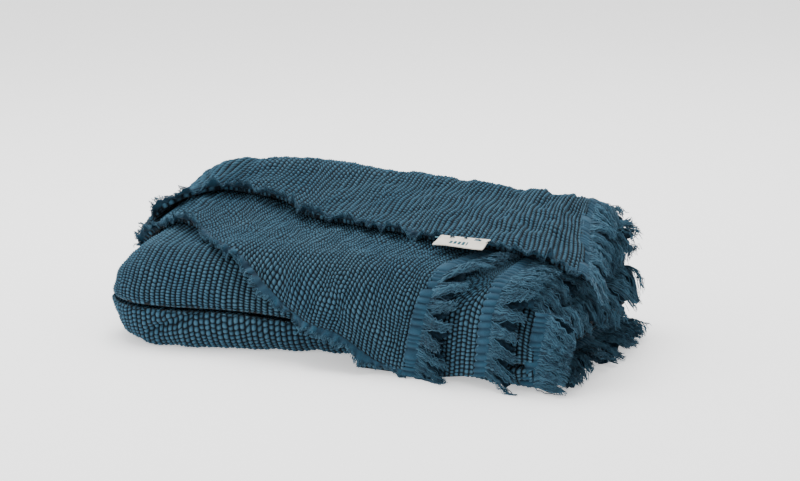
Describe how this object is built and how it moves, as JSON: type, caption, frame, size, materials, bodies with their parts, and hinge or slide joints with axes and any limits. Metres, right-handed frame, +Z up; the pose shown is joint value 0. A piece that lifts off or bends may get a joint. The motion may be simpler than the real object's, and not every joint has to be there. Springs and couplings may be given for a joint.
{
  "type": "folded throw blanket",
  "caption": "Folded woven throw: two folded runs, a draped ply over the front, and a top flap that opens at its left fold, with fringed ends and a sewn label.",
  "frame": {"origin": "middle of the bundle's footprint, on the surface it lies on", "axes": "+X along the bundle from its left fold to its fringed end, -Y towards its front, +Z up"},
  "size_m": [0.6, 0.3038, 0.1764],
  "materials": {
    "weave": "crinkled waffle cotton, deep teal blue",
    "band": "smooth plain-woven cotton band",
    "fringe": "crinkled loose cotton threads",
    "tape": "cream cotton tape",
    "stitching": "teal sewing thread"
  },
  "bodies": {
    "pack": {"lower_run": "weave", "middle_run": "weave", "second_ply": "weave", "second_header": "band", "second_fringe": "fringe", "wrap_header": "band", "wrap_fringe": "fringe", "lower_header": "band", "lower_fringe": "fringe", "middle_header": "band", "middle_fringe": "fringe", "draped_ply": "weave", "draped_selvedge": "band", "draped_header": "band", "draped_fringe": "fringe", "spine_fold": "weave"},
    "flap": {"top_ply": "weave", "top_selvedge": "band", "top_header": "band", "top_fringe": "fringe", "inner_plies": "weave", "inner_header": "band", "inner_fringe": "fringe"},
    "label": {"label": "tape", "label_stitch_left": "stitching", "label_stitch_right": "stitching"}
  },
  "joints": [
    {"name": "flap_open", "type": "hinge", "parent": "pack", "child": "flap", "pos_m": [-0.29322, 0, 0.07847], "axis": [0, -1, 0], "range_deg": [0, 110], "deforming": ["spine_fold"]},
    {"name": "label_flip", "type": "hinge", "parent": "flap", "child": "label", "pos_m": [0.118, -0.04979, 0.13267], "axis": [-1, 0, 0], "range_deg": [0, 150]}
  ]
}
